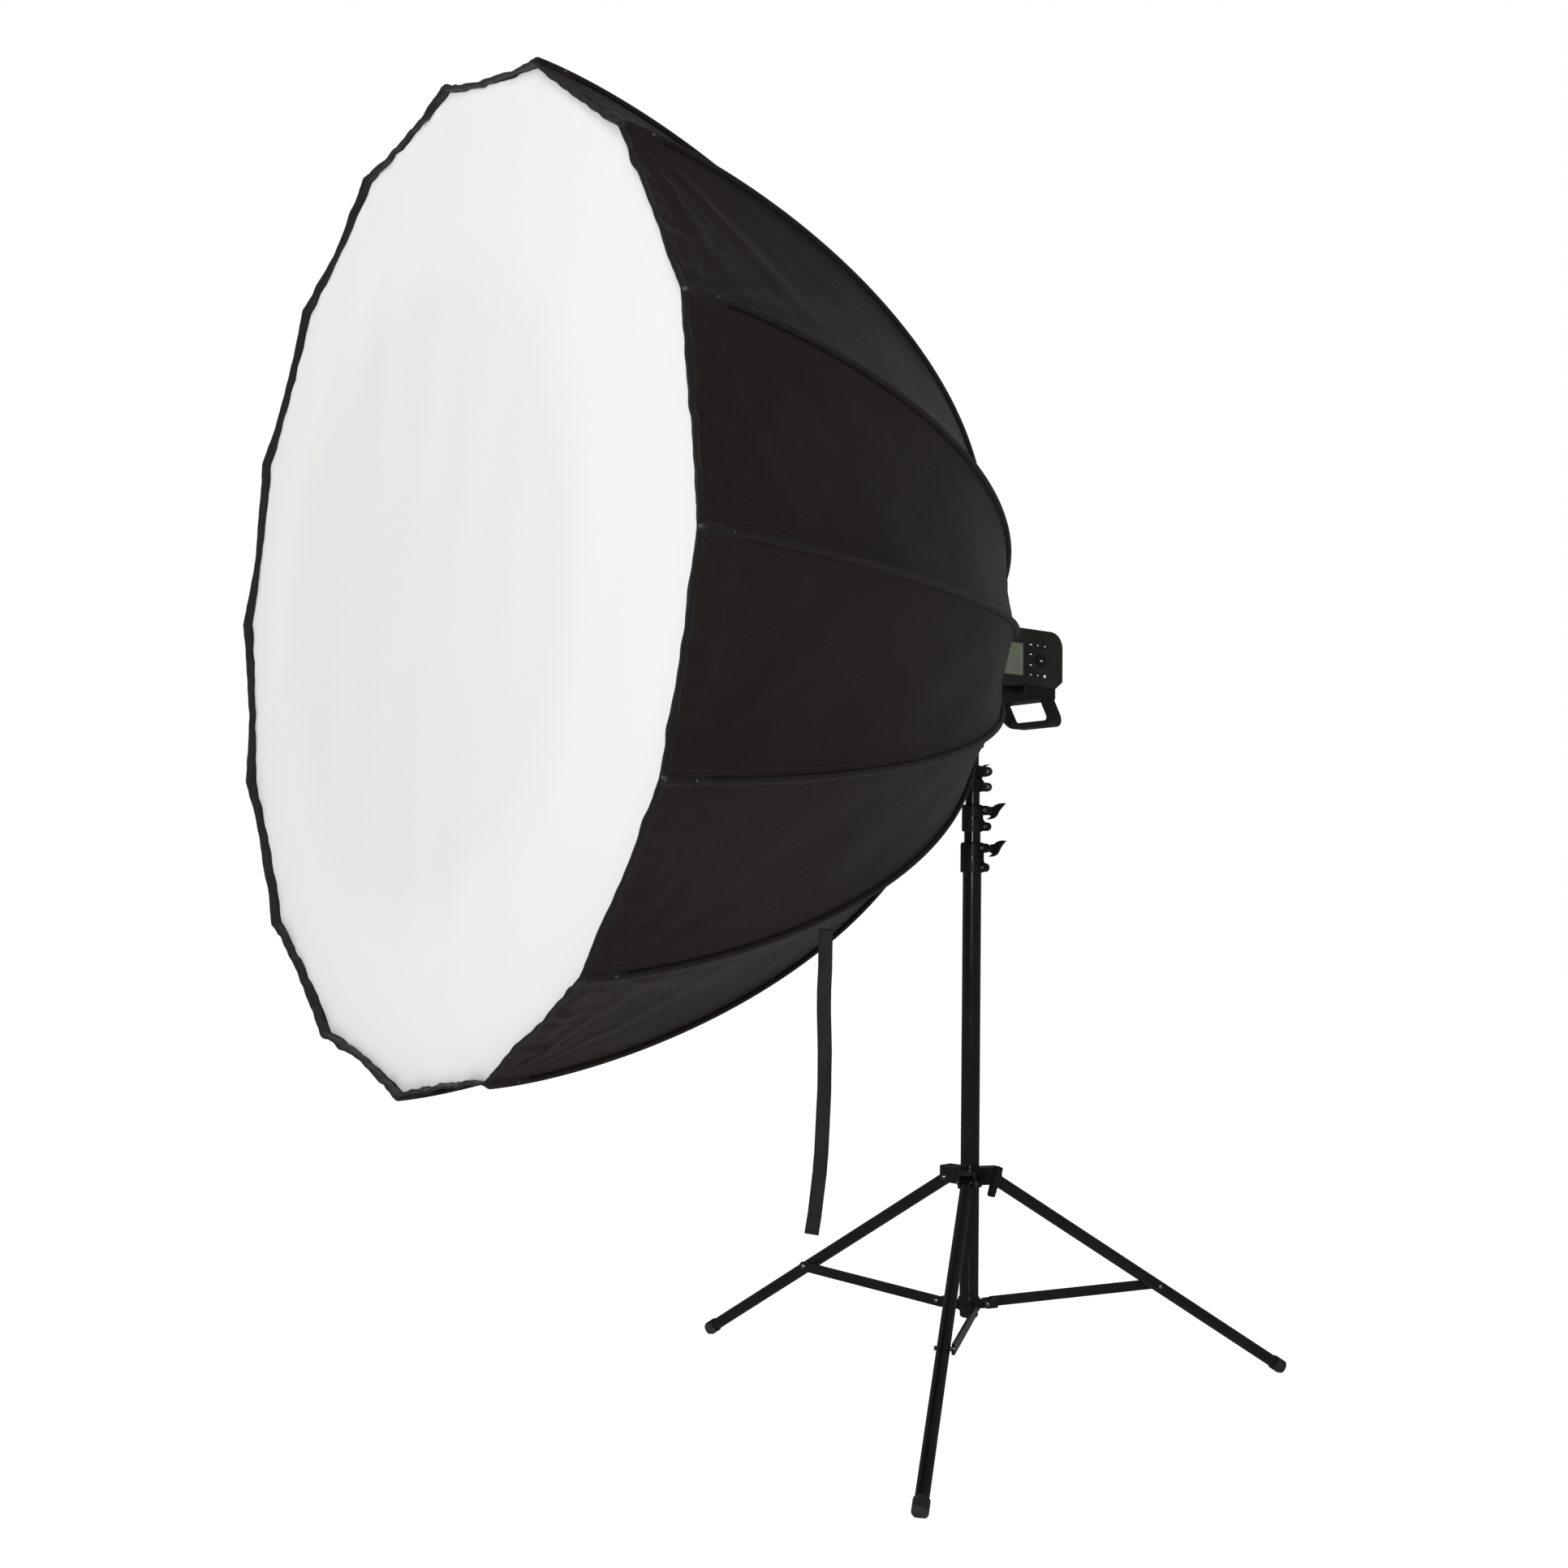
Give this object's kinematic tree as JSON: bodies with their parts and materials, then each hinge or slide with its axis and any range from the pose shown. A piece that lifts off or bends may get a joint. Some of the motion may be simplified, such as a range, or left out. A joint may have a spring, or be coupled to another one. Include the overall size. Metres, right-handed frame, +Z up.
{
  "type": "studio softbox light on stand",
  "caption": "Deep parabolic umbrella softbox on a battery flash head, with a tilting bracket and a folding telescopic tripod light stand.",
  "frame": {"origin": "on the floor, under the middle of the object's bounding box", "axes": "+Z up, the softbox faces -Y, +X is on the side of the flash head's control panel"},
  "size_m": [1.5054, 1.7298, 2.0863],
  "materials": {
    "black_metal": "satin",
    "stand_plastic": "satin",
    "foot_rubber": "matte",
    "bracket_metal": "satin",
    "bracket_plastic": "satin",
    "head_plastic": "satin",
    "battery_plastic": "satin",
    "screen": "gloss",
    "button_plastic": "satin",
    "dial_plastic": "satin",
    "lamp_glass": "gloss",
    "ring_metal": "satin",
    "rod_plastic": "satin",
    "shell_cloth": "satin",
    "diffuser_cloth": "matte",
    "baffle_cloth": "matte",
    "strap_webbing": "matte"
  },
  "bodies": {
    "column": {"bottom_tube": "black_metal", "lower_hub": "stand_plastic", "clamp_sleeve_1": "stand_plastic"},
    "collar": {"leg_collar": "stand_plastic"},
    "collar_knob": {"collar_knob": "stand_plastic"},
    "leg_1": {"leg_1": "black_metal", "foot_1": "foot_rubber"},
    "brace_1": {"brace_1": "black_metal"},
    "leg_2": {"leg_2": "black_metal", "foot_2": "foot_rubber"},
    "brace_2": {"brace_2": "black_metal"},
    "leg_3": {"leg_3": "black_metal", "foot_3": "foot_rubber"},
    "brace_3": {"brace_3": "black_metal"},
    "mid_stage": {"mid_tube": "black_metal", "clamp_sleeve_2": "stand_plastic"},
    "upper_stage": {"upper_tube": "black_metal", "clamp_sleeve_3": "stand_plastic"},
    "top_stage": {"top_tube": "black_metal"},
    "clamp_lever_1": {"clamp_lever_1": "stand_plastic"},
    "clamp_lever_2": {"clamp_lever_2": "stand_plastic"},
    "clamp_lever_3": {"clamp_lever_3": "stand_plastic"},
    "swivel": {"swivel_base": "bracket_metal"},
    "swivel_knob": {"swivel_knob": "bracket_plastic"},
    "head": {"tilt_bracket": "bracket_metal", "head_housing": "head_plastic", "screen_panel": "screen", "lamp_unit": "lamp_glass"},
    "tilt_lever": {"tilt_lever": "bracket_plastic"},
    "battery": {"battery_pack": "battery_plastic"},
    "dial": {"control_dial": "dial_plastic"},
    "button_1": {"button_1": "button_plastic"},
    "button_2": {"button_2": "button_plastic"},
    "button_3": {"button_3": "button_plastic"},
    "button_4": {"button_4": "button_plastic"},
    "button_5": {"button_5": "button_plastic"},
    "button_6": {"button_6": "button_plastic"},
    "button_7": {"button_7": "button_plastic"},
    "button_8": {"button_8": "button_plastic"},
    "softbox": {"speedring": "ring_metal", "shell_fabric": "shell_cloth", "front_diffuser": "diffuser_cloth", "inner_baffle": "baffle_cloth"},
    "rod_01": {"rod_01": "rod_plastic"},
    "rod_02": {"rod_02": "rod_plastic"},
    "rod_03": {"rod_03": "rod_plastic"},
    "rod_04": {"rod_04": "rod_plastic"},
    "rod_05": {"rod_05": "rod_plastic"},
    "rod_06": {"rod_06": "rod_plastic"},
    "rod_07": {"rod_07": "rod_plastic", "tie_strap": "strap_webbing"},
    "rod_08": {"rod_08": "rod_plastic"},
    "rod_09": {"rod_09": "rod_plastic"},
    "rod_10": {"rod_10": "rod_plastic"},
    "rod_11": {"rod_11": "rod_plastic"},
    "rod_12": {"rod_12": "rod_plastic"},
    "rod_13": {"rod_13": "rod_plastic"},
    "rod_14": {"rod_14": "rod_plastic"},
    "rod_15": {"rod_15": "rod_plastic"},
    "rod_16": {"rod_16": "rod_plastic"}
  },
  "joints": [
    {"name": "collar_slide", "type": "slide", "parent": "column", "child": "collar", "axis": [0, 0, 1], "range_m": [0, 0.5179]},
    {"name": "collar_knob_turn", "type": "hinge", "parent": "collar", "child": "collar_knob", "pos_m": [0, 0.2401, 0.3866], "axis": [0.9799, 0.1994, 0], "continuous": true},
    {"name": "leg_1_swing", "type": "hinge", "parent": "collar", "child": "leg_1", "pos_m": [-0.04704, 0.23053, 0.3846], "axis": [0.1994, -0.9799, 0], "range_deg": [0, 58.05]},
    {"name": "brace_1_swing", "type": "hinge", "parent": "column", "child": "brace_1", "pos_m": [-0.03528, 0.23292, 0.1607], "axis": [-0.1994, 0.9799, 0], "range_deg": [0, 85.56]},
    {"name": "leg_2_swing", "type": "hinge", "parent": "collar", "child": "leg_2", "pos_m": [0.03181, 0.20415, 0.3846], "axis": [0.749, 0.6626, 0], "range_deg": [0, 58.05]},
    {"name": "brace_2_swing", "type": "hinge", "parent": "column", "child": "brace_2", "pos_m": [0.02385, 0.21314, 0.1607], "axis": [-0.749, -0.6626, 0], "range_deg": [0, 85.56]},
    {"name": "leg_3_swing", "type": "hinge", "parent": "collar", "child": "leg_3", "pos_m": [0.01523, 0.28562, 0.3846], "axis": [-0.9483, 0.3173, 0], "range_deg": [0, 58.05]},
    {"name": "brace_3_swing", "type": "hinge", "parent": "column", "child": "brace_3", "pos_m": [0.01142, 0.27424, 0.1607], "axis": [0.9483, -0.3173, 0], "range_deg": [0, 85.56]},
    {"name": "mid_tube_slide", "type": "slide", "parent": "column", "child": "mid_stage", "axis": [0, 0, 1], "range_m": [0, 0.55]},
    {"name": "upper_tube_slide", "type": "slide", "parent": "mid_stage", "child": "upper_stage", "axis": [0, 0, 1], "range_m": [0, 0.55]},
    {"name": "top_tube_slide", "type": "slide", "parent": "upper_stage", "child": "top_stage", "axis": [0, 0, 1], "range_m": [0, 0.55]},
    {"name": "clamp_lever_1_turn", "type": "hinge", "parent": "column", "child": "clamp_lever_1", "pos_m": [0.02636, 0.24594, 0.9835], "axis": [-0.2164, 0.9763, 0], "range_deg": [0, 180]},
    {"name": "clamp_lever_2_turn", "type": "hinge", "parent": "mid_stage", "child": "clamp_lever_2", "pos_m": [0.02395, 0.25257, 1.0525], "axis": [-0.4617, 0.887, 0], "range_deg": [0, 180]},
    {"name": "clamp_lever_3_turn", "type": "hinge", "parent": "upper_stage", "child": "clamp_lever_3", "pos_m": [0.01529, 0.26235, 1.1245], "axis": [-0.8241, 0.5664, 0], "range_deg": [0, 180]},
    {"name": "pan", "type": "hinge", "parent": "top_stage", "child": "swivel", "pos_m": [0, 0.2401, 1.19], "axis": [0, 0, 1], "continuous": true},
    {"name": "swivel_knob_turn", "type": "hinge", "parent": "swivel", "child": "swivel_knob", "pos_m": [0, 0.2401, 1.192], "axis": [-0.766, 0.6428, 0], "continuous": true},
    {"name": "tilt", "type": "hinge", "parent": "swivel", "child": "head", "pos_m": [0, 0.2401, 1.238], "axis": [1, 0, 0], "range_deg": [-35, 25]},
    {"name": "tilt_lever_turn", "type": "hinge", "parent": "head", "child": "tilt_lever", "pos_m": [0.02, 0.2401, 1.238], "axis": [1, 0, 0], "range_deg": [-60, 60]},
    {"name": "battery_slide", "type": "slide", "parent": "head", "child": "battery", "axis": [0, 1, 0], "range_m": [0, 0.12]},
    {"name": "dial_turn", "type": "hinge", "parent": "head", "child": "dial", "pos_m": [0.062, 0.3511, 1.333], "axis": [1, 0, 0], "continuous": true},
    {"name": "button_1_press", "type": "slide", "parent": "head", "child": "button_1", "axis": [-1, 0, 0], "range_m": [0, 0.0008], "stiffness_N_per_m": 600},
    {"name": "button_2_press", "type": "slide", "parent": "head", "child": "button_2", "axis": [-1, 0, 0], "range_m": [0, 0.0008], "stiffness_N_per_m": 600},
    {"name": "button_3_press", "type": "slide", "parent": "head", "child": "button_3", "axis": [-1, 0, 0], "range_m": [0, 0.0008], "stiffness_N_per_m": 600},
    {"name": "button_4_press", "type": "slide", "parent": "head", "child": "button_4", "axis": [-1, 0, 0], "range_m": [0, 0.0008], "stiffness_N_per_m": 600},
    {"name": "button_5_press", "type": "slide", "parent": "head", "child": "button_5", "axis": [-1, 0, 0], "range_m": [0, 0.0008], "stiffness_N_per_m": 600},
    {"name": "button_6_press", "type": "slide", "parent": "head", "child": "button_6", "axis": [-1, 0, 0], "range_m": [0, 0.0008], "stiffness_N_per_m": 600},
    {"name": "button_7_press", "type": "slide", "parent": "head", "child": "button_7", "axis": [-1, 0, 0], "range_m": [0, 0.0008], "stiffness_N_per_m": 600},
    {"name": "button_8_press", "type": "slide", "parent": "head", "child": "button_8", "axis": [-1, 0, 0], "range_m": [0, 0.0008], "stiffness_N_per_m": 600},
    {"name": "softbox_turn", "type": "hinge", "parent": "head", "child": "softbox", "pos_m": [0, 0.1521, 1.3336], "axis": [0, 1, 0], "continuous": true},
    {"name": "rod_01_fold", "type": "hinge", "parent": "softbox", "child": "rod_01", "pos_m": [0.00413, 0.15523, 1.42451], "axis": [0.999, 0, -0.0454], "range_deg": [0, 34], "deforming": ["shell_fabric", "front_diffuser", "inner_baffle"]},
    {"name": "rod_02_fold", "type": "hinge", "parent": "softbox", "child": "rod_02", "pos_m": [0.0386, 0.15523, 1.41601], "axis": [0.9056, 0, -0.4242], "range_deg": [0, 34]},
    {"name": "rod_03_fold", "type": "hinge", "parent": "softbox", "child": "rod_03", "pos_m": [0.0672, 0.15523, 1.39496], "axis": [0.6743, 0, -0.7385], "range_deg": [0, 34]},
    {"name": "rod_04_fold", "type": "hinge", "parent": "softbox", "child": "rod_04", "pos_m": [0.08557, 0.15523, 1.36458], "axis": [0.3404, 0, -0.9403], "range_deg": [0, 34]},
    {"name": "rod_05_fold", "type": "hinge", "parent": "softbox", "child": "rod_05", "pos_m": [0.09091, 0.15523, 1.32947], "axis": [-0.0454, 0, -0.999], "range_deg": [0, 34]},
    {"name": "rod_06_fold", "type": "hinge", "parent": "softbox", "child": "rod_06", "pos_m": [0.08241, 0.15523, 1.295], "axis": [-0.4242, 0, -0.9056], "range_deg": [0, 34]},
    {"name": "rod_07_fold", "type": "hinge", "parent": "softbox", "child": "rod_07", "pos_m": [0.06136, 0.15523, 1.2664], "axis": [-0.7385, 0, -0.6743], "range_deg": [0, 34]},
    {"name": "rod_08_fold", "type": "hinge", "parent": "softbox", "child": "rod_08", "pos_m": [0.03097, 0.15523, 1.24803], "axis": [-0.9403, 0, -0.3404], "range_deg": [0, 34]},
    {"name": "rod_09_fold", "type": "hinge", "parent": "softbox", "child": "rod_09", "pos_m": [-0.00413, 0.15523, 1.24269], "axis": [-0.999, 0, 0.0454], "range_deg": [0, 34]},
    {"name": "rod_10_fold", "type": "hinge", "parent": "softbox", "child": "rod_10", "pos_m": [-0.0386, 0.15523, 1.25119], "axis": [-0.9056, 0, 0.4242], "range_deg": [0, 34]},
    {"name": "rod_11_fold", "type": "hinge", "parent": "softbox", "child": "rod_11", "pos_m": [-0.0672, 0.15523, 1.27224], "axis": [-0.6743, 0, 0.7385], "range_deg": [0, 34]},
    {"name": "rod_12_fold", "type": "hinge", "parent": "softbox", "child": "rod_12", "pos_m": [-0.08557, 0.15523, 1.30262], "axis": [-0.3404, 0, 0.9403], "range_deg": [0, 34]},
    {"name": "rod_13_fold", "type": "hinge", "parent": "softbox", "child": "rod_13", "pos_m": [-0.09091, 0.15523, 1.33773], "axis": [0.0454, 0, 0.999], "range_deg": [0, 34]},
    {"name": "rod_14_fold", "type": "hinge", "parent": "softbox", "child": "rod_14", "pos_m": [-0.08241, 0.15523, 1.3722], "axis": [0.4242, 0, 0.9056], "range_deg": [0, 34]},
    {"name": "rod_15_fold", "type": "hinge", "parent": "softbox", "child": "rod_15", "pos_m": [-0.06136, 0.15523, 1.4008], "axis": [0.7385, 0, 0.6743], "range_deg": [0, 34]},
    {"name": "rod_16_fold", "type": "hinge", "parent": "softbox", "child": "rod_16", "pos_m": [-0.03097, 0.15523, 1.41917], "axis": [0.9403, 0, 0.3404], "range_deg": [0, 34]}
  ],
  "couplings": [
    {"joint": "leg_1_swing", "follows": "collar_slide", "rad_per_m": 1.956},
    {"joint": "brace_1_swing", "follows": "collar_slide", "rad_per_m": 2.883},
    {"joint": "leg_2_swing", "follows": "collar_slide", "rad_per_m": 1.956},
    {"joint": "brace_2_swing", "follows": "collar_slide", "rad_per_m": 2.883},
    {"joint": "leg_3_swing", "follows": "collar_slide", "rad_per_m": 1.956},
    {"joint": "brace_3_swing", "follows": "collar_slide", "rad_per_m": 2.883},
    {"joint": "rod_02_fold", "follows": "rod_01_fold", "ratio": 1},
    {"joint": "rod_03_fold", "follows": "rod_01_fold", "ratio": 1},
    {"joint": "rod_04_fold", "follows": "rod_01_fold", "ratio": 1},
    {"joint": "rod_05_fold", "follows": "rod_01_fold", "ratio": 1},
    {"joint": "rod_06_fold", "follows": "rod_01_fold", "ratio": 1},
    {"joint": "rod_07_fold", "follows": "rod_01_fold", "ratio": 1},
    {"joint": "rod_08_fold", "follows": "rod_01_fold", "ratio": 1},
    {"joint": "rod_09_fold", "follows": "rod_01_fold", "ratio": 1},
    {"joint": "rod_10_fold", "follows": "rod_01_fold", "ratio": 1},
    {"joint": "rod_11_fold", "follows": "rod_01_fold", "ratio": 1},
    {"joint": "rod_12_fold", "follows": "rod_01_fold", "ratio": 1},
    {"joint": "rod_13_fold", "follows": "rod_01_fold", "ratio": 1},
    {"joint": "rod_14_fold", "follows": "rod_01_fold", "ratio": 1},
    {"joint": "rod_15_fold", "follows": "rod_01_fold", "ratio": 1},
    {"joint": "rod_16_fold", "follows": "rod_01_fold", "ratio": 1}
  ]
}
